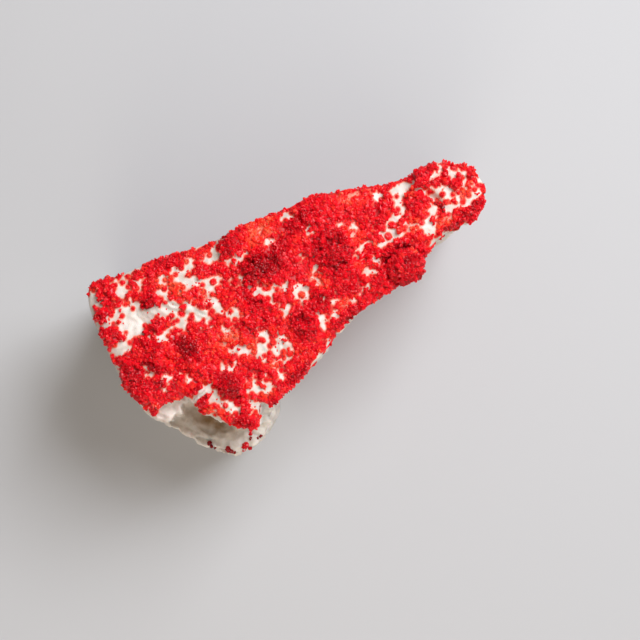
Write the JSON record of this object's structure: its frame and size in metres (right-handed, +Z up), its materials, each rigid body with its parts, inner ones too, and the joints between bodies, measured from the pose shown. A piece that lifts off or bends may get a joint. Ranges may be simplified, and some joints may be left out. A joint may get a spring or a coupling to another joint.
{
  "type": "slice of red velvet layer cake",
  "caption": "Wedge-shaped slice of layer cake with cream fillings, frosting on the top and back with a torn corner, and a strewing of red cake crumbs.",
  "frame": {"origin": "middle of the whole slice's bounding box, at the level of its flat base", "axes": "+Z up, +X from the frosted back to the tip, +Y to the left cut face"},
  "size_m": [0.1336, 0.0744, 0.0796],
  "materials": {
    "sponge": "matte, open crumb",
    "cream": "satin, smeared with a knife",
    "crumbs": "moist, lightly glistening"
  },
  "bodies": {
    "root": {"sponge_bottom": "sponge", "filling_lower": "cream", "sponge_middle": "sponge", "filling_upper": "cream", "sponge_top": "sponge", "frosting": "cream", "crumb_lump": "crumbs"}
  },
  "joints": []
}
